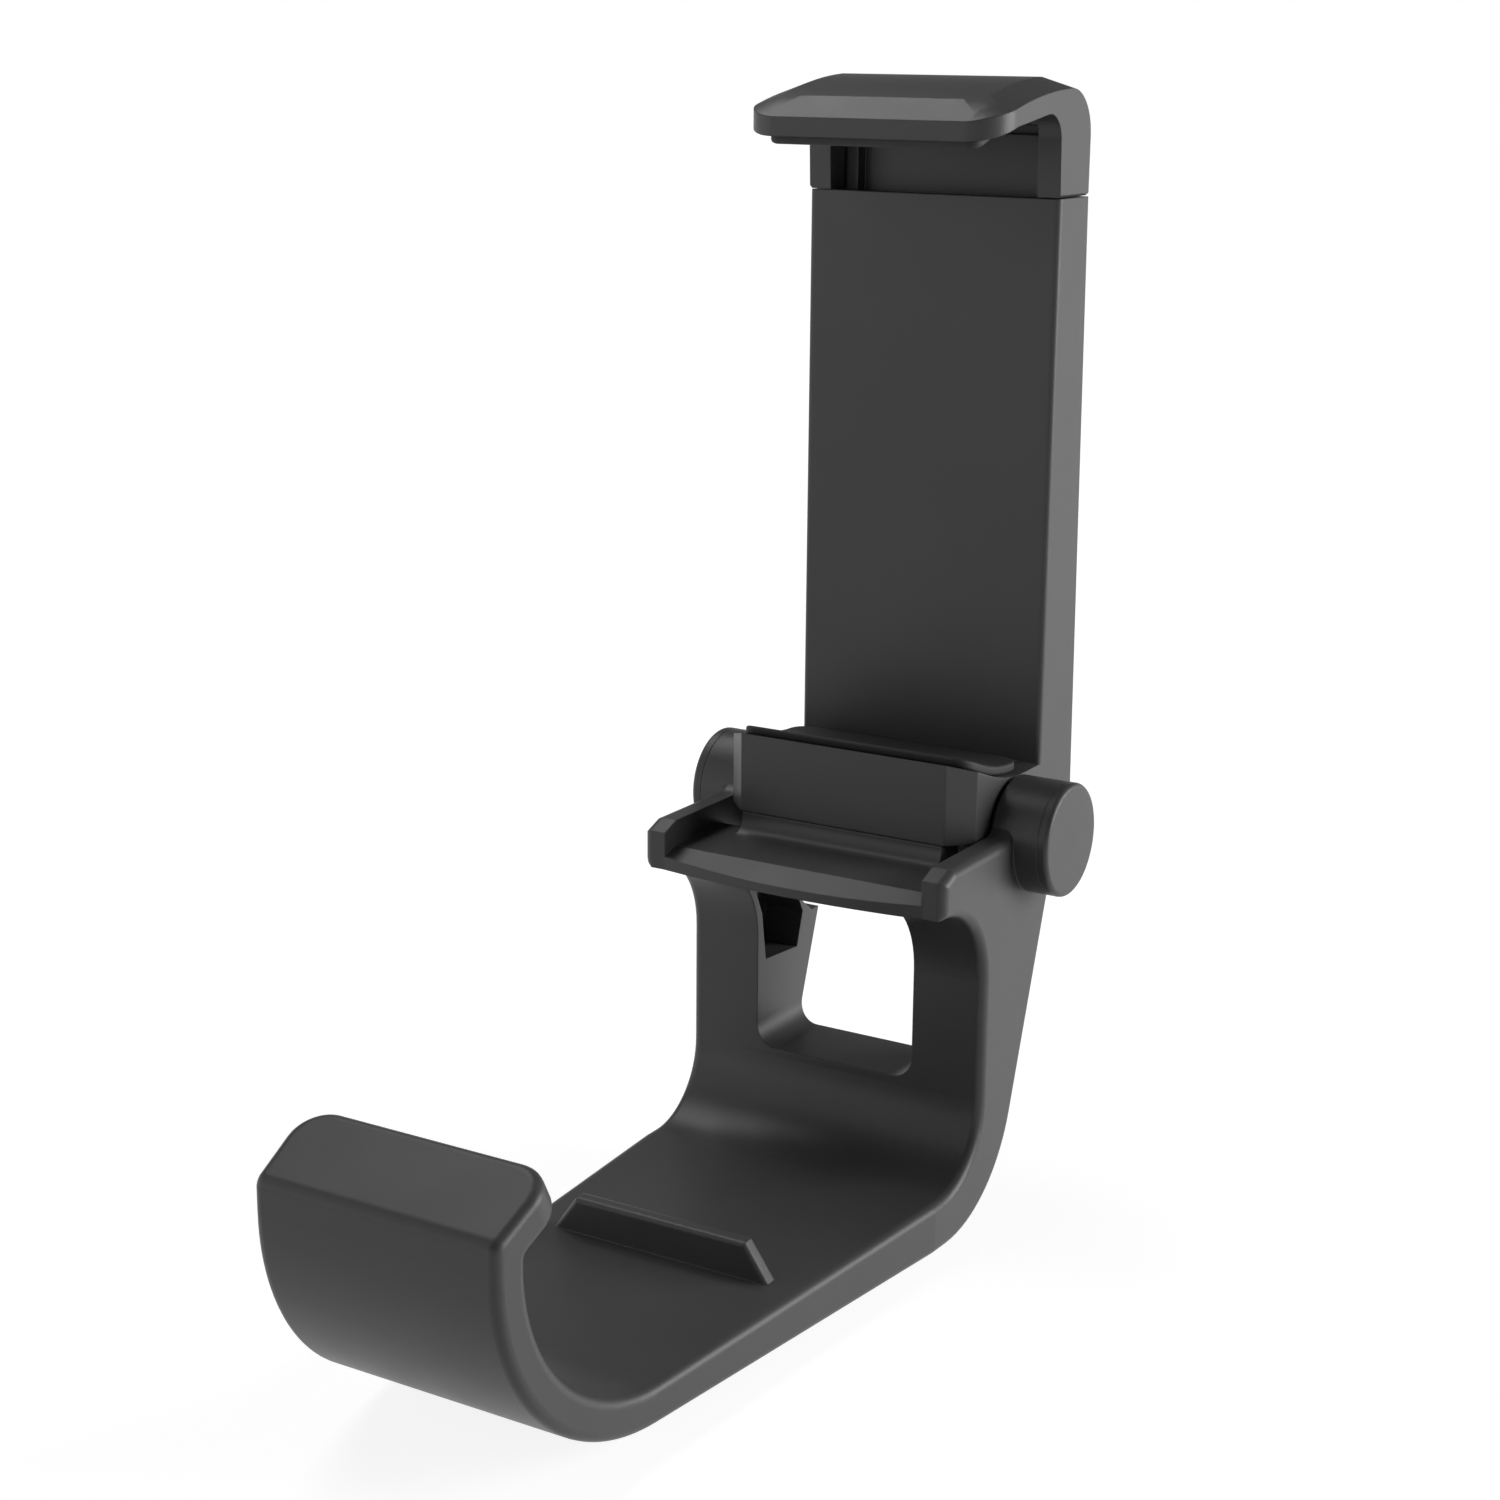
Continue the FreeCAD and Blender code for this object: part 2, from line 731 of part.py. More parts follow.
def front_housing():
    """The plate with the lower jaw, the cavity and the hinge cheeks."""
    body = new_body("front_housing")
    side = [
        (jaw_lip_front, block_low),
        (jaw_lip_front, jaw_lip_top),
        (channel_low_y, channel_low_z),
        (plate_front, channel_back_z),
        (plate_front, plate_top),
        (case_back_top, plate_top),
        (case_back_low, block_low + s.case_chamfer),
        (case_back_low - s.case_chamfer, block_low),
    ]
    pad(body, "case", outline(body, "case_side", "YZ_Plane", side), s.holder_half * 2, middle=True)
    round_at(body, "channel_round", channel_radius, y=channel_low_y, z=channel_low_z)
    lip_edge = {"x": s.holder_half, "y": jaw_lip_front}
    soften(body, "lip_chamfer", s.jaw_lip_chamfer, lambda edge: matches(edge, lip_edge), "Chamfer")
    round_at(body, "plate_round", s.plate_radius, x=s.holder_half, y=plate_front)

    cheek = box(knuckle_room, s.holder_half, 0, s.cheek_radius)
    other = [(-across, up) for across, up in cheek]
    turned(body, "cheeks", "Revolution", outline(body, "cheek_half", "XY_Plane", cheek, other, offset=hinge))
    groove = s.knuckle_radius + s.slip_fit * 2
    out = s.holder_half + 1
    bore = [
        (-out, 0),
        (-out, pivot_bore),
        (-knuckle_room, pivot_bore),
        (-knuckle_room, groove),
        (knuckle_room, groove),
        (knuckle_room, pivot_bore),
        (out, pivot_bore),
        (out, 0),
    ]
    turned(body, "pivot", "Groove", outline(body, "pivot_half", "XY_Plane", bore, offset=hinge))

    cavity = box(-cavity_half, cavity_half, cavity_low, plate_top + 1)
    cavity_sketch = outline(body, "cavity_face", "XZ_Plane", cavity, offset=(0, 0, -cavity_front))
    pocket(body, "cavity", cavity_sketch, s.case_depth_low * 2)

    guide = box(rail_outer - s.guide_width, rail_outer, tongue_low - 2, plate_top)
    mirror = [(-across, up) for across, up in guide]
    guides = outline(body, "guide_face", "XZ_Plane", guide, mirror, offset=(0, 0, 0.5 - cavity_front))
    pad(body, "guides", guides, rail_front - 0.2 - cavity_front + 0.5, reverse=True)

    bosses = circles(body, "boss_face", "XZ_Plane", s.boss_radius, *boss_spots, offset=(0, 0, 0.5 - cavity_front))
    pad(body, "bosses", bosses, cover_front - cavity_front + 0.5, reverse=True)
    holes = circles(body, "boss_hole_face", "XZ_Plane", screw_bore, *boss_spots, offset=(0, 0, -cavity_front - 0.6))
    pocket(body, "boss_holes", holes, s.case_depth_low)

    spots = [(-s.knuckle_screw_across, knuckle_screw_y), (s.knuckle_screw_across, knuckle_screw_y)]
    pilots = circles(body, "pilot_face", "XY_Plane", screw_bore, *spots, offset=(0, 0, block_low - 1))
    pocket(body, "pilots", pilots, s.knuckle_screw_length + 1, reverse=True)

    pin_hole = circles(body, "pin_hole_face", "YZ_Plane", s.pin_radius + s.slip_fit, (pin_y, pin_low))
    pocket(body, "pin_holes", pin_hole, (cavity_half + s.pin_bite + 0.1) * 2, middle=True)
    return body


def rear_cover():
    """The cover screwed on behind the cavity."""
    body = new_body("rear_cover")
    low = cavity_low + s.slip_fit
    fall = (s.case_depth_low - s.case_depth_top) / (plate_top - block_low - s.case_chamfer)
    side = [
        (cover_front, low),
        (cover_front, plate_top),
        (case_back_top, plate_top),
        (case_back_top + fall * (plate_top - low), low),
    ]
    width = (cavity_half - s.slip_fit) * 2
    pad(body, "cover", outline(body, "cover_side", "YZ_Plane", side), width, middle=True)
    holes = circles(body, "hole_face", "XZ_Plane", screw_bore, *boss_spots, offset=(0, 0, 1 - cover_front))
    pocket(body, "holes", holes, s.case_depth_low)
    seats = circles(body, "seat_face", "XZ_Plane", screw_head_bore, *boss_spots, offset=(0, 0, -cover_screw_seat))
    pocket(body, "seats", seats, s.case_depth_low)
    return body


def hinge_knuckle():
    """The hinge barrel with a flange that screws under the block."""
    body = new_body("hinge_knuckle")
    barrel = box(-knuckle_half, knuckle_half, 0, s.knuckle_radius)
    turned(body, "barrel", "Revolution", outline(body, "barrel_half", "XY_Plane", barrel, offset=hinge))
    flange = box(flange_front, flange_back, flange_low, flange_high)
    pad(body, "flange", outline(body, "flange_side", "YZ_Plane", flange), knuckle_half * 2, middle=True)
    bore = box(-knuckle_half - 1, knuckle_half + 1, 0, pivot_bore)
    turned(body, "bore", "Groove", outline(body, "bore_half", "XY_Plane", bore, offset=hinge))
    spots = [(-s.knuckle_screw_across, knuckle_screw_y), (s.knuckle_screw_across, knuckle_screw_y)]
    holes = circles(body, "hole_face", "XY_Plane", screw_bore, *spots, offset=(0, 0, flange_low - 1))
    pocket(body, "holes", holes, s.flange_thick + 2, reverse=True)
    return body


def lower_jaw_pad():
    """The soft pad that follows the lower jaw's channel."""
    body = new_body("lower_jaw_pad")
    front = jaw_lip_front + s.pad_front
    bend = channel_low_z + s.pad_gap
    low = [
        (front, bend + s.channel_fall / s.channel_run * (channel_low_y - front)),
        (channel_low_y, bend),
        (pad_back, bend + s.channel_rise / (plate_front - channel_low_y) * (pad_back - channel_low_y)),
    ]
    high = [(y, z + s.pad_thick) for y, z in reversed(low)]
    half = s.holder_half - s.pad_margin
    pad(body, "sheet", outline(body, "sheet_side", "YZ_Plane", low + high), half * 2, middle=True)
    round_at(body, "under_round", channel_radius, y=channel_low_y, z=bend)
    round_at(body, "top_round", channel_radius - s.pad_thick, y=channel_low_y, z=bend + s.pad_thick)
    round_at(body, "front_corner_round", s.pad_corner, x=half, y=front)
    round_at(body, "back_corner_round", s.pad_corner, x=half, y=pad_back)
    return body


# Slider

def upper_jaw():
    """The sliding jaw: a thin head on two arms and a back wall."""
    body = new_body("upper_jaw")
    under = jaw_front_low
    brow = under + s.jaw_front_height
    top = jaw_low + s.jaw_top

    def side(drop):
        """The side view, with its top lowered by drop."""
        rear = s.jaw_rear_radius - drop
        return [
            (jaw_front, under),
            (jaw_front, brow),
            (jaw_front + s.jaw_bevel_run, brow + s.jaw_bevel_rise - drop, s.jaw_crown_radius),
            (jaw_back - rear, top - drop, rear),
            (jaw_back, top - s.jaw_rear_radius),
            (jaw_back, jaw_low),
            (plate_front, jaw_low),
            (plate_front - s.arm_lean, under + s.jaw_inner_rise),
            (jaw_front + s.jaw_under_run, under + s.jaw_under_rise),
        ]

    crown_half = s.holder_half - s.jaw_chamfer_wide
    stations = [
        ("left_side", -s.holder_half, s.jaw_chamfer_high),
        ("left_crown", -crown_half, 0),
        ("right_crown", crown_half, 0),
        ("right_side", s.holder_half, s.jaw_chamfer_high),
    ]
    sections = []
    for name, across, drop in stations:
        sections.append(outline(body, name, "YZ_Plane", side(drop), offset=(0, 0, across)))
    head = body.newObject("PartDesign::AdditiveLoft", "jaw")
    head.Profile = sections[0]
    head.Sections = sections[1:]
    head.Ruled = True
    for section in sections:
        section.Visibility = False

    inner = {"y": plate_front - s.arm_lean, "z": under + s.jaw_inner_rise}
    round_at(body, "inner_round", s.jaw_inner_radius, **inner)

    recess = box(-recess_half, recess_half, plate_front - 2, recess_back)
    recess_plan = outline(body, "recess_plan", "XY_Plane", recess, offset=(0, 0, jaw_low - 1))
    pocket(body, "recess", recess_plan, s.recess_height + 1, reverse=True)

    spots = [(-s.tongue_screw_across, tongue_screw_z), (s.tongue_screw_across, tongue_screw_z)]
    holes = circles(body, "hole_face", "XZ_Plane", screw_bore, *spots, offset=(0, 0, 1 - recess_back))
    pocket(body, "holes", holes, s.case_depth_low)
    seats = circles(body, "seat_face", "XZ_Plane", screw_head_bore, *spots, offset=(0, 0, -tongue_screw_seat))
    pocket(body, "seats", seats, s.case_depth_low)

    round_at(body, "front_round", s.jaw_corner_radius, x=s.holder_half, y=jaw_front)
    low_edge = {"x": s.holder_half, "z": jaw_low}
    soften(body, "edge_break", s.jaw_edge_break, lambda edge: matches(edge, low_edge), "Chamfer")
    return body


def upper_jaw_pad():
    """The soft pad under the upper jaw's head, along its two slopes."""
    body = new_body("upper_jaw_pad")
    front = jaw_front + s.jaw_pad_front
    back = front + s.jaw_pad_depth
    bend_y = jaw_front + s.jaw_under_run
    bend_z = jaw_front_low + s.jaw_under_rise - s.pad_gap
    head_back = plate_front - s.arm_lean
    rear_slope = (s.jaw_inner_rise - s.jaw_under_rise) / (head_back - bend_y)
    high = [
        (front, bend_z - s.jaw_under_rise / s.jaw_under_run * (bend_y - front)),
        (bend_y, bend_z),
        (back, bend_z + rear_slope * (back - bend_y)),
    ]
    low = [(y, z - s.jaw_pad_thick) for y, z in reversed(high)]
    half = s.holder_half - s.jaw_pad_margin
    pad(body, "sheet", outline(body, "sheet_side", "YZ_Plane", high + low), half * 2, middle=True)
    round_at(body, "front_corner_round", s.jaw_pad_corner, x=half, y=front)
    round_at(body, "back_corner_round", s.jaw_pad_corner, x=half, y=back)
    return body


def slider_tongue():
    """The tongue with two rails that runs inside the housing."""
    body = new_body("slider_tongue")
    section = [
        (-rail_outer, rail_back),
        (rail_outer, rail_back),
        (rail_outer, rail_front),
        (rail_inner, rail_front),
        (rail_inner, panel_front),
        (-rail_inner, panel_front),
        (-rail_inner, rail_front),
        (-rail_outer, rail_front),
    ]
    plan = outline(body, "section_plan", "XY_Plane", section, offset=(0, 0, tongue_low))
    pad(body, "tongue", plan, tongue_high - tongue_low)
    notch = box(-rail_inner, rail_inner, tongue_low - 1, tongue_low + s.tongue_notch)
    face = outline(body, "notch_face", "XZ_Plane", notch, offset=(0, 0, 1 - rail_front))
    pocket(body, "notch", face, s.rail_depth + 3)
    hole = circles(body, "pin_hole_face", "YZ_Plane", s.pin_radius + s.slip_fit, (pin_y, pin_high))
    pocket(body, "pin_holes", hole, (rail_outer + 1) * 2, middle=True)
    spots = [(-s.tongue_screw_across, tongue_screw_z), (s.tongue_screw_across, tongue_screw_z)]
    blind = circles(body, "hole_face", "XZ_Plane", screw_bore, *spots, offset=(0, 0, -panel_front - 0.3))
    pocket(body, "holes", blind, s.rail_depth + 3)
    return body


# Pins and springs

def pin_body(label, half, z):
    """A plain pin across the holder."""
    body = new_body(label, (0, pin_y, z))
    pad(body, "pin", circles(body, "pin_face", "YZ_Plane", s.pin_radius, (0, 0)), half * 2, middle=True)
    return body


def spring(label, side):
    """A close-wound tension spring between the two pins."""
    low = pin_low + s.pin_radius + 0.2
    high = pin_high - s.pin_radius - 0.2
    body = new_body(label, (spring_across * side, pin_y, low))
    length = high - low
    tail = length * 0.06
    pitch = (length - tail * 2) / COILS
    half = [(0, 0), (s.spring_tail, 0), (s.spring_tail, tail)]
    for coil in range(COILS):
        start = tail + pitch * coil
        half.append((s.spring_radius - s.spring_groove, start))
        half.append((s.spring_radius, start + pitch / 2))
    half.append((s.spring_radius - s.spring_groove, length - tail))
    half.extend([(s.spring_tail, length - tail), (s.spring_tail, length), (0, length)])
    wire = outline(body, "coil_half", "XZ_Plane", half)
    coil = body.newObject("PartDesign::Revolution", "coils")
    coil.Profile = wire
    coil.ReferenceAxis = (wire, ["V_Axis"])
    coil.Angle = 360
    wire.Visibility = False
    return body


# Screws

def screws(label, spots, turn, shank):
    """Round-head screws: each spot is under a head, the shank points along the turned z axis."""
    rotation = FreeCAD.Rotation(FreeCAD.Vector(1, 0, 0), turn)
    back = rotation.multVec(FreeCAD.Vector(0, 0, -1))
    parts = []
    for spot in spots:
        shaft = doc.addObject("Part::Cylinder", f"{label}_shaft")
        head = doc.addObject("Part::Cylinder", f"{label}_head")
        shaft.setExpression("Radius", formula(s.screw_radius))
        shaft.setExpression("Height", formula(shank))
        head.setExpression("Radius", formula(s.screw_head_radius))
        head.setExpression("Height", formula(s.screw_head_height))
        top = [value + s.screw_head_height * round(step) for value, step in zip(spot, back)]
        for item, place in ((shaft, spot), (head, top)):
            item.Placement = FreeCAD.Placement(FreeCAD.Vector(), rotation)
            put(item, place)
        parts.extend([shaft, head])
    joined = doc.addObject("Part::MultiFuse", label)
    joined.Label = label
    joined.Shapes = parts
    joined.Refine = True
    return joined


# Assembly

cover_screw_spots = [(across, cover_screw_seat, up) for across, up in boss_spots]
knuckle_screw_spots = [(s.knuckle_screw_across * side, knuckle_screw_y, flange_low) for side in (-1, 1)]
tongue_screw_spots = [(s.tongue_screw_across * side, tongue_screw_seat, tongue_screw_z) for side in (-1, 1)]
washer_bore = s.bolt_radius + s.slip_fit
flat_end = bolt_seat + s.bolt_washer_thick
spring_end = flat_end + s.spring_washer_thick

subparts = [
    cradle_frame(),
    hinge_cap("hinge_cap_left", -1),
    hinge_cap("hinge_cap_right", 1),
    hinge_bolt(),
    hinge_nut(),
    ring("bolt_washer", washer_bore, s.bolt_washer_radius, bolt_seat, flat_end, -1),
    ring("spring_washer", washer_bore, s.spring_washer_radius, flat_end, spring_end, -1),
    ring("friction_washer_left", washer_bore, s.friction_washer_radius, washer_face, ear_face, -1),
    ring("friction_washer_right", washer_bore, s.friction_washer_radius, washer_face, ear_face, 1),
    front_housing(),
    rear_cover(),
    hinge_knuckle(),
    lower_jaw_pad(),
    pin_body("lower_spring_pin", cavity_half + s.pin_bite, pin_low),
    spring("spring_left", -1),
    spring("spring_right", 1),
    upper_jaw(),
    upper_jaw_pad(),
    slider_tongue(),
    pin_body("upper_spring_pin", rail_outer, pin_high),
    screws("cover_screws", cover_screw_spots, 90, cover_screw_seat - cavity_front - 0.9),
    screws("knuckle_screws", knuckle_screw_spots, 0, s.flange_thick + s.knuckle_screw_length - 0.5),
    screws("tongue_screws", tongue_screw_spots, 90, tongue_screw_seat - panel_front - 0.5),
]

doc.recompute()

for item in doc.Objects:
    if "Invalid" in item.State or "Error" in item.State:
        raise RuntimeError(f"{item.Label} has not built: {item.State}")

for item in subparts:
    if item.Shape.isNull() or not item.Shape.isValid():
        raise RuntimeError(f"{item.Label} has no valid shape")

os.makedirs("parts", exist_ok=True)
for item in subparts:
    item.Shape.exportStep(f"parts/{item.Label}.step")
    print(item.Label, round(item.Shape.Volume, 1), len(item.Shape.Solids))
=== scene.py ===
import bmesh
import bpy
import json
import math
from mathutils import Matrix, Vector


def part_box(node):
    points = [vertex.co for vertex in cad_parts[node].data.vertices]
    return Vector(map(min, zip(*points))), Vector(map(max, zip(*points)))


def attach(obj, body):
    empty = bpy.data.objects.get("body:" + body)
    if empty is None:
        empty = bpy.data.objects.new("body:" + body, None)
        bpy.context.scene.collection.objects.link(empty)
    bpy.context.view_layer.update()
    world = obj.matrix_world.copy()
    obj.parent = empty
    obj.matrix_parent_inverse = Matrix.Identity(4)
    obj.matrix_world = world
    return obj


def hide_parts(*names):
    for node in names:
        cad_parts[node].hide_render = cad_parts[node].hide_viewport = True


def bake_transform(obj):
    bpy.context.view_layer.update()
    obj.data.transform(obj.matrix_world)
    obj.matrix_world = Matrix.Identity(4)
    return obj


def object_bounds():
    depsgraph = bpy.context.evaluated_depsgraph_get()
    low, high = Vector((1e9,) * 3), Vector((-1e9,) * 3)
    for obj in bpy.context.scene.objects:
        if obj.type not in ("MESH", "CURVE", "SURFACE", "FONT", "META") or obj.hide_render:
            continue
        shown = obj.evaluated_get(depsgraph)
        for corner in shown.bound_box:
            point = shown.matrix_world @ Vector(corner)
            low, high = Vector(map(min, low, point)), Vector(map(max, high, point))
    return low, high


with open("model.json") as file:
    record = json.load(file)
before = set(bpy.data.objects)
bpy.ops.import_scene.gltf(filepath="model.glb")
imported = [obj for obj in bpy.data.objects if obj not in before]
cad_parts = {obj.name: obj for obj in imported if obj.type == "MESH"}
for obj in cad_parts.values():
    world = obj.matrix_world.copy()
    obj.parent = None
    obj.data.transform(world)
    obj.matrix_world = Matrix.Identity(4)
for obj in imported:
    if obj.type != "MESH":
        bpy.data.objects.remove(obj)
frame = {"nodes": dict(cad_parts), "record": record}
nodes = frame["nodes"]
cad_low, cad_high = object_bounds()


# Camera

def place_camera(where, azimuth, elevation, roll, lens):
    """The photograph's camera: it stands at where, and looks back along azimuth and elevation."""
    az, el, tilt = (math.radians(angle) for angle in (azimuth, elevation, roll))
    back = Vector((math.sin(az) * math.cos(el), -math.cos(az) * math.cos(el), math.sin(el)))
    right = (-back).cross(Vector((0, 0, 1))).normalized()
    up = right.cross(-back)
    across = right * math.cos(tilt) + up * math.sin(tilt)
    above = up * math.cos(tilt) - right * math.sin(tilt)
    data = bpy.data.cameras.new("camera")
    data.lens = lens
    data.sensor_width = 36
    data.clip_start = 0.01
    camera = bpy.data.objects.new("camera", data)
    camera.matrix_world = Matrix.Translation(where) @ Matrix((across, above, back)).transposed().to_4x4()
    bpy.context.collection.objects.link(camera)
    bpy.context.scene.camera = camera


place_camera(
    Vector((0.13435, -0.21177, 0.11776)),
    azimuth=31.041,
    elevation=14.904,
    roll=0.537,
    lens=64.44,
)


# Materials

def grey(value):
    return (value, value, value, 1.0)


def map_range(tree, source, start, end, low, high):
    """A value that goes from low to high as the source goes from start to end."""
    node = tree.nodes.new("ShaderNodeMapRange")
    for key, value in (("From Min", start), ("From Max", end), ("To Min", low), ("To Max", high)):
        node.inputs[key].default_value = value
    tree.links.new(source, node.inputs["Value"])
    return node.outputs["Result"]


class Nodes:
    """Builds one material out of shader nodes."""

    def __init__(self, name):
        self.material = bpy.data.materials.new(name)
        self.material.use_nodes = True
        self.tree = self.material.node_tree
        self.shader = self.tree.nodes["Principled BSDF"]

    def add(self, kind, **values):
        node = self.tree.nodes.new(f"ShaderNode{kind}")
        for key, value in values.items():
            setattr(node, key, value)
        return node

    def link(self, source, target):
        self.tree.links.new(source, target)

    def set(self, **values):
        for key, value in values.items():
            self.shader.inputs[key.replace("_", " ")].default_value = value

    def position(self):
        return self.add("TexCoord").outputs["Object"]

    def noise(self, scale, detail, stretch=None):
        where = self.position()
        if stretch:
            mapping = self.add("Mapping")
            mapping.inputs["Scale"].default_value = stretch
            self.link(where, mapping.inputs["Vector"])
            where = mapping.outputs["Vector"]
        node = self.add("TexNoise")
        node.inputs["Scale"].default_value = scale
        node.inputs["Detail"].default_value = detail
        self.link(where, node.inputs["Vector"])
        return node.outputs["Fac"]

    def mottle(self, scale, detail, dark, light):
        """Let the grey of the surface drift between dark and light."""
        node = self.add("ValToRGB")
        stops = ((0.3, dark), (0.7, light))
        for element, (place, value) in zip(node.color_ramp.elements, stops):
            element.position = place
            element.color = grey(value)
        self.link(self.noise(scale, detail), node.inputs["Fac"])
        self.link(node.outputs["Color"], self.shader.inputs["Base Color"])

    def dull(self, source, low, high):
        """Let the roughness follow source from low to high."""
        roughness = map_range(self.tree, source, 0.0, 1.0, low, high)
        self.link(roughness, self.shader.inputs["Roughness"])

    def relief(self, height, distance, round_edges=0.0):
        """Raise the surface by up to distance, and shade its edges as if rounded."""
        bump = self.add("Bump")
        bump.inputs["Strength"].default_value = 1.0
        bump.inputs["Distance"].default_value = distance
        self.link(height, bump.inputs["Height"])
        if round_edges:
            bevel = self.add("Bevel", samples=6)
            bevel.inputs["Radius"].default_value = round_edges
            self.link(bevel.outputs["Normal"], bump.inputs["Normal"])
        self.link(bump.outputs["Normal"], self.shader.inputs["Normal"])


def moulded_plastic(name, tone, roughness):
    """Moulded plastic with a fine satin texture and softened edges."""
    look = Nodes(name)
    look.mottle(scale=45, detail=4, dark=tone * 0.88, light=tone)
    look.dull(look.noise(160, 3), roughness, roughness + 0.08)
    look.relief(look.noise(9000, 2), distance=0.000006, round_edges=0.0002)
    look.set(IOR=1.48, Specular_IOR_Level=0.4)
    return look.material


def rubber():
    """Soft black rubber, duller than the plastic."""
    look = Nodes("black_rubber")
    look.mottle(scale=60, detail=4, dark=0.014, light=0.018)
    look.dull(look.noise(220, 3), 0.60, 0.72)
    look.relief(look.noise(7000, 3), distance=0.00001, round_edges=0.00025)
    return look.material


def steel(name, tone, roughness):
    """Plated steel with fine turning marks."""
    look = Nodes(name)
    look.set(Metallic=1.0)
    look.mottle(scale=90, detail=4, dark=tone * 0.92, light=tone)
    marks = look.noise(900, 4, stretch=(0.08, 1, 1))
    look.dull(marks, roughness, roughness + 0.12)
    look.relief(marks, distance=0.000008)
    return look.material


finishes = {
    "charcoal_plastic": moulded_plastic("charcoal_plastic", tone=0.066, roughness=0.38),
    "washer_plastic": moulded_plastic("washer_plastic", tone=0.024, roughness=0.28),
    "black_rubber": rubber(),
    "steel": steel("steel", tone=0.56, roughness=0.26),
    "spring_steel": steel("spring_steel", tone=0.50, roughness=0.22),
}


def dress(obj, slot_name):
    obj.data.materials.clear()
    obj.data.materials.append(finishes[slot_name])


for part in frame["record"]["subparts"]:
    dress(nodes[part["node"]], part["material_slot"])


# Tools for the detail pieces

same_place = 1e-7


def clean_copy(node):
    """The mesh of a CAD node with its flat faces joined up."""
    shape = bmesh.new()
    shape.from_mesh(nodes[node].data)
    bmesh.ops.remove_doubles(shape, verts=shape.verts, dist=same_place)
    bmesh.ops.dissolve_limit(shape, angle_limit=math.radians(0.5), verts=shape.verts, edges=shape.edges)
    return shape


def solids(node):
    """The lowest and highest corners of each separate solid of a CAD node, ordered by place."""
    shape = clean_copy(node)
    left = set(shape.verts)
    boxes = []
    while left:
        waiting = [left.pop()]
        group = []
        while waiting:
            vert = waiting.pop()
            group.append(vert.co.copy())
            for edge in vert.link_edges:
                other = edge.other_vert(vert)
                if other in left:
                    left.remove(other)
                    waiting.append(other)
        low = Vector([min(point[axis] for point in group) for axis in range(3)])
        high = Vector([max(point[axis] for point in group) for axis in range(3)])
        boxes.append((low, high))
    shape.free()
    boxes.sort(key=lambda box: [round(value, 5) for value in box[0]])
    return boxes


def new_piece(name, shape, crease=35):
    """An object made of a bmesh, shaded smooth but for edges sharper than crease, in degrees."""
    mesh = bpy.data.meshes.new(name)
    shape.to_mesh(mesh)
    shape.free()
    mesh.shade_smooth()
    mesh.set_sharp_from_angle(angle=math.radians(crease))
    piece = bpy.data.objects.new(name, mesh)
    bpy.context.collection.objects.link(piece)
    return piece


def stand_in(piece, node, body, slot):
    """Let a piece take a CAD node's place, body and finish."""
    dress(piece, slot)
    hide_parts(node)
    if body:
        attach(piece, body)


def settled(piece):
    """The mesh of a piece with its modifiers, or of a curve, made final."""
    return bpy.data.meshes.new_from_object(piece.evaluated_get(bpy.context.evaluated_depsgraph_get()))


# Rubber pads, with the soft edges of moulded rubber

def rubber_pad(name, node, body):
    piece = new_piece(name, clean_copy(node))
    bevel = piece.modifiers.new("soft_edge", "BEVEL")
    bevel.width = 0.0003
    bevel.segments = 4
    bevel.limit_method = "ANGLE"
    bevel.angle_limit = math.radians(40)
    bevel.use_clamp_overlap = False
    piece.data = settled(piece)
    piece.modifiers.clear()
    piece.data.shade_smooth()
    stand_in(piece, node, body, "black_rubber")


rubber_pad("lower_jaw_rubber", "lower_jaw_pad", "holder")
rubber_pad("upper_jaw_rubber", "upper_jaw_pad", "slider")


# Upper jaw, whose front bevel turns softly into the side chamfers

def soft_jaw():
    """The jaw with a fillet on each hip, cut as a fan of flats that touch one cylinder."""
    radius = 0.008
    flats = 7
    hip_top = Vector((0.0117, 0.0362, 0.1118))
    front_bevel = Vector((0, -0.549, 0.836)).normalized()
    side_chamfer = Vector((0.306, -0.247, 0.919)).normalized()
    shape = clean_copy("upper_jaw")
    for side in (1, -1):
        mirror = Matrix.Diagonal((side, 1, 1))
        half_turn = front_bevel.angle(side_chamfer) / 2
        inward = -(front_bevel + side_chamfer).normalized()
        centre = hip_top + inward * radius / math.cos(half_turn)
        for flat in range(flats):
            normal = front_bevel.slerp(side_chamfer, (flat + 0.5) / flats)
            cut = bmesh.ops.bisect_plane(
                shape,
                geom=shape.verts[:] + shape.edges[:] + shape.faces[:],
                dist=same_place,
                plane_co=mirror @ (centre + normal * radius),
                plane_no=mirror @ normal,
                clear_outer=True,
            )
            rim = [part for part in cut["geom_cut"] if isinstance(part, bmesh.types.BMEdge)]
            bmesh.ops.contextual_create(shape, geom=rim)
    bmesh.ops.recalc_face_normals(shape, faces=shape.faces)
    piece = new_piece("soft_jaw", shape, crease=12)
    even = piece.modifiers.new("flat_faces", "WEIGHTED_NORMAL")
    even.keep_sharp = True
    piece.data = settled(piece)
    piece.modifiers.clear()
    stand_in(piece, "upper_jaw", "slider", "charcoal_plastic")


soft_jaw()


# Cross-head screws

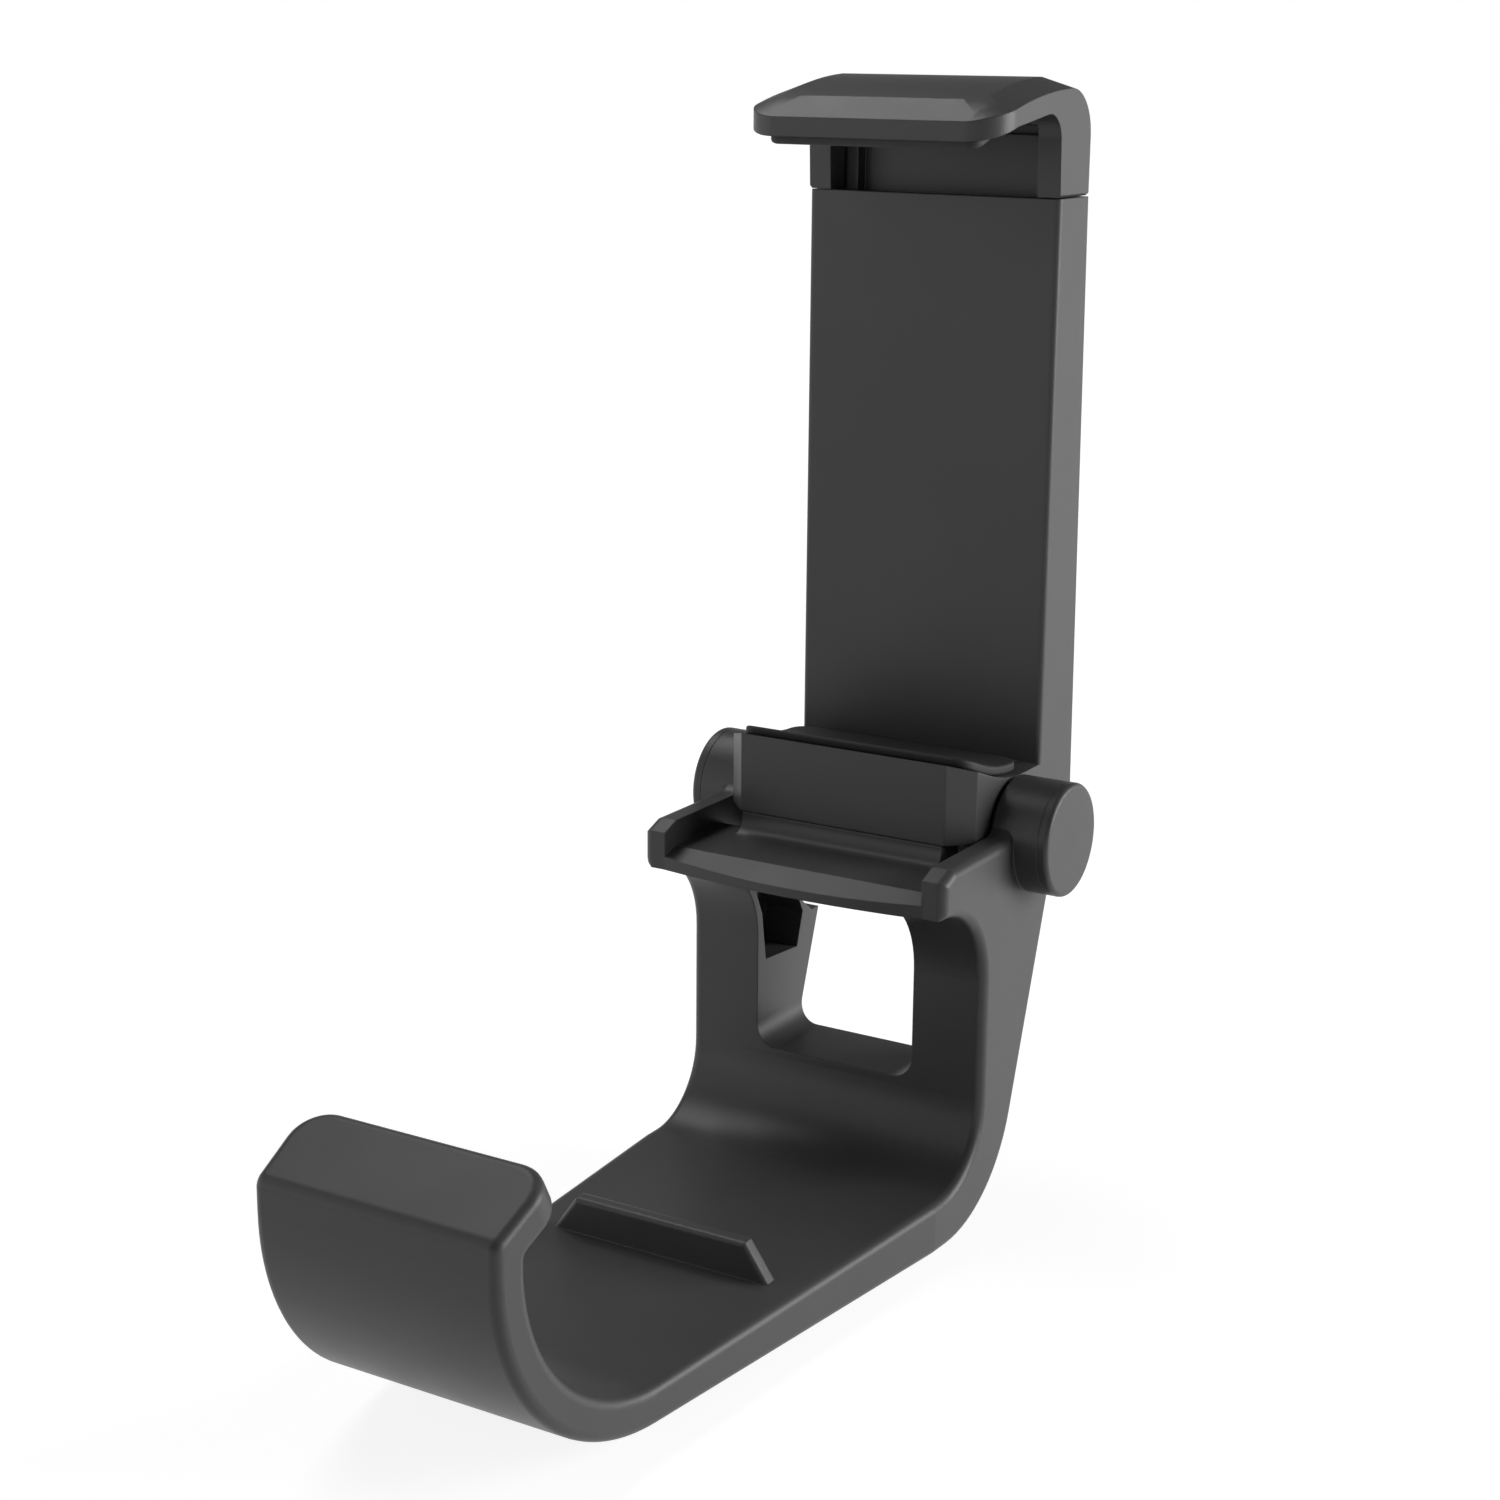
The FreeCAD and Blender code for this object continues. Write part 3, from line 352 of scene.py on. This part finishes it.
def lathe(profile, segments=40):
    """A solid turned about z from points (radius, height) that start and end on the axis."""
    shape = bmesh.new()
    rings = []
    for radius, height in profile:
        steps = segments if radius else 1
        ring = []
        for step in range(steps):
            angle = 2 * math.pi * step / steps
            ring.append(shape.verts.new((radius * math.cos(angle), radius * math.sin(angle), height)))
        rings.append(ring)
    for upper, lower in zip(rings, rings[1:]):
        for step in range(segments):
            after = step + 1
            corners = [upper[step % len(upper)], upper[after % len(upper)]]
            corners += [lower[after % len(lower)], lower[step % len(lower)]]
            shape.faces.new(dict.fromkeys(corners))
    bmesh.ops.recalc_face_normals(shape, faces=shape.faces)
    return shape


def cross_cutter(reach, arm, depth):
    """A cross that narrows to its foot, for the recess of a screw head."""
    mouth = 1.15
    foot_across = 0.45
    foot_along = 0.7
    above_head = depth * 0.4
    outline = []
    for turn in range(4):
        spin = Matrix.Rotation(math.pi / 2 * turn, 2)
        for corner in ((reach, -arm), (reach, arm), (arm, arm)):
            outline.append(spin @ Vector(corner))
    shape = bmesh.new()
    top = [shape.verts.new((x * mouth, y * mouth, above_head)) for x, y in outline]
    foot = [shape.verts.new((x * foot_across, y * foot_along, -depth)) for x, y in outline]
    shape.faces.new(top)
    shape.faces.new(reversed(foot))
    count = len(outline)
    for i in range(count):
        shape.faces.new((top[i], foot[i], foot[(i + 1) % count], top[(i + 1) % count]))
    bmesh.ops.recalc_face_normals(shape, faces=shape.faces)
    return new_piece("cross_cutter", shape)


def screw_shape(radius, head, length):
    """One screw with its head's top at zero and its shank along -z."""
    shank = radius * 0.5
    groove = shank * 0.8
    tip = shank * 0.6
    thread = 0.0004
    # A domed head, from its middle out to the rim and back in to the shank
    profile = [
        (0, 0),
        (radius * 0.45, -head * 0.02),
        (radius * 0.75, -head * 0.10),
        (radius * 0.92, -head * 0.28),
        (radius, -head * 0.55),
        (radius, -head),
        (shank, -head),
    ]
    turns = int((length - head) / thread) - 1
    for turn in range(turns):
        height = -head - thread * (turn + 0.5)
        profile.append((shank, height))
        profile.append((groove, height - thread / 2))
    profile.append((tip, -length))
    profile.append((0, -length))
    piece = new_piece("screw", lathe(profile))
    cutter = cross_cutter(reach=radius * 0.55, arm=radius * 0.12, depth=head * 0.6)
    cut = piece.modifiers.new("recess", "BOOLEAN")
    cut.operation = "DIFFERENCE"
    cut.solver = "EXACT"
    cut.object = cutter
    mesh = settled(piece)
    bpy.data.objects.remove(piece)
    bpy.data.objects.remove(cutter)
    return mesh


def cross_screws(node, body, outward):
    """A detailed screw in the place of each screw of a CAD node; outward is where the heads face."""
    outward = Vector(outward)
    head = 0.0009
    first_turn = 0.5
    further_turn = 1.3
    joined = bmesh.new()
    for number, (low, high) in enumerate(solids(node)):
        middle = (low + high) / 2
        length = abs((high - low).dot(outward))
        face = middle + outward * length / 2
        radius = (high.x - low.x) / 2
        turn = outward.to_track_quat("Z", "Y").to_matrix().to_4x4()
        spin = Matrix.Rotation(first_turn + further_turn * number, 4, "Z")
        mesh = screw_shape(radius, head, length)
        mesh.transform(Matrix.Translation(face) @ turn @ spin)
        joined.from_mesh(mesh)
    stand_in(new_piece(f"{node}_detail", joined), node, body, "steel")


cross_screws("cover_screws", "holder", (0, 1, 0))
cross_screws("knuckle_screws", "holder", (0, 0, -1))
cross_screws("tongue_screws", "slider", (0, 1, 0))


# Wound tension springs

def tension_spring(node):
    """A wire wound between the two pins, with a hook round each."""
    low, high = (Vector(corner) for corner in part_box(node))
    axis = (low + high) / 2
    wire = 0.00022
    coil = (high.x - low.x) / 2 - wire
    length = high.z - low.z
    tail = length * 0.08
    turns = 24
    steps = 20
    hook = 0.00085
    reach = 0.0008

    def at(x, y, z):
        return Vector((axis.x + x, axis.y + y, z))

    def hook_points(end, way):
        """From the pin's far side round to the coil; way is 1 at the top and -1 at the foot."""
        centre = end + way * reach
        points = []
        for degrees in range(-120, 151, 15):
            angle = math.radians(degrees)
            points.append(at(0, hook * math.sin(angle), centre + way * hook * math.cos(angle)))
        # From the hook the wire leads towards the coil
        points.append(at(0, hook * 0.4, end - way * tail * 0.4))
        return points

    foot = hook_points(low.z, -1)
    crown = hook_points(high.z, 1)
    winding = []
    for step in range(turns * steps + 1):
        angle = 2 * math.pi * step / steps + math.pi / 2
        z = low.z + tail + (length - 2 * tail) * step / (turns * steps)
        winding.append(at(coil * math.cos(angle), coil * math.sin(angle), z))
    points = foot + winding + crown[::-1]

    curve = bpy.data.curves.new(f"{node}_wire", "CURVE")
    curve.dimensions = "3D"
    curve.bevel_depth = wire
    curve.bevel_resolution = 2
    curve.use_fill_caps = True
    spline = curve.splines.new("POLY")
    spline.points.add(len(points) - 1)
    for place, point in zip(spline.points, points):
        place.co = (*point, 1)
    path = bpy.data.objects.new(f"{node}_path", curve)
    bpy.context.collection.objects.link(path)
    mesh = settled(path)
    bpy.data.objects.remove(path)
    mesh.shade_smooth()
    piece = bpy.data.objects.new(f"{node}_wire", mesh)
    bpy.context.collection.objects.link(piece)
    stand_in(piece, node, None, "spring_steel")
    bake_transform(piece)


tension_spring("spring_left")
tension_spring("spring_right")


# Floor, background and lights

def seen_directly(tree):
    """One where the camera, a reflection or a view through glass sees it, and zero elsewhere."""
    path = tree.nodes.new("ShaderNodeLightPath")
    total = path.outputs["Is Camera Ray"]
    for kind in ("Is Glossy Ray", "Is Transmission Ray"):
        either = tree.nodes.new("ShaderNodeMath")
        either.operation = "MAXIMUM"
        tree.links.new(total, either.inputs[0])
        tree.links.new(path.outputs[kind], either.inputs[1])
        total = either.outputs["Value"]
    return total


def make_world(light, ceiling):
    """White low down and dimmer overhead where it is seen, and a dim even light on the object."""
    world = bpy.data.worlds.new("studio")
    world.use_nodes = True
    tree = world.node_tree
    background = tree.nodes["Background"]
    background.inputs["Color"].default_value = (1.0, 1.0, 1.0, 1.0)
    direction = tree.nodes.new("ShaderNodeTexCoord")
    split = tree.nodes.new("ShaderNodeSeparateXYZ")
    tree.links.new(direction.outputs["Generated"], split.inputs["Vector"])
    wall_top = 0.1
    ceiling_edge = 0.25
    seen = map_range(tree, split.outputs["Z"], wall_top, ceiling_edge, 1.0, ceiling)
    level = tree.nodes.new("ShaderNodeMix")
    level.inputs["A"].default_value = light
    tree.links.new(seen, level.inputs["B"])
    tree.links.new(seen_directly(tree), level.inputs["Factor"])
    tree.links.new(level.outputs["Result"], background.inputs["Strength"])
    bpy.context.scene.world = world


def floor_material():
    """A pale floor that fades to white away from the object."""
    look = Nodes("floor")
    look.mottle(scale=6, detail=2, dark=0.34, light=0.36)
    look.set(Roughness=0.9, Specular_IOR_Level=0.1)
    distance = look.add("VectorMath", operation="LENGTH")
    look.link(look.position(), distance.inputs[0])
    near = 0.15
    far = 0.9
    under_object = 0.86
    fade = map_range(look.tree, distance.outputs["Value"], near, far, under_object, 1.0)
    strength = look.add("Math", operation="MULTIPLY")
    look.link(seen_directly(look.tree), strength.inputs[0])
    look.link(fade, strength.inputs[1])
    look.link(strength.outputs["Value"], look.shader.inputs["Emission Strength"])
    look.shader.inputs["Emission Color"].default_value = (1.0, 1.0, 1.0, 1.0)
    return look.material


def make_floor():
    mesh = bpy.data.meshes.new("floor")
    half = 6.0
    z = cad_low[2]
    corners = [(-half, -half, z), (half, -half, z), (half, half, z), (-half, half, z)]
    mesh.from_pydata(corners, [], [(0, 1, 2, 3)])
    floor = bpy.data.objects.new("floor", mesh)
    bpy.context.collection.objects.link(floor)
    mesh.materials.append(floor_material())


def softbox(name, where, size, power):
    """A square area light that faces the middle of the object."""
    data = bpy.data.lights.new(name, "AREA")
    data.shape = "SQUARE"
    data.size = size
    data.energy = power
    light = bpy.data.objects.new(name, data)
    light.location = where
    middle = Vector((0, 0, 0.05))
    light.rotation_euler = (middle - Vector(where)).to_track_quat("-Z", "Y").to_euler()
    bpy.context.collection.objects.link(light)


make_world(light=0.04, ceiling=0.12)
make_floor()
softbox("right_softbox", (0.772, 0.446, 0.175), size=0.6, power=9.6)
softbox("left_softbox", (-0.648, -0.544, 0.358), size=0.8, power=2.0)
softbox("front_softbox", (0.0, -0.897, 0.128), size=0.5, power=0.3)
softbox("overhead_left_softbox", (-0.45, 0.0, 0.829), size=0.3, power=1.0)
softbox("overhead_rear_softbox", (-0.423, 0.296, 0.787), size=0.3, power=1.3)

bpy.context.scene.view_settings.view_transform = "Standard"
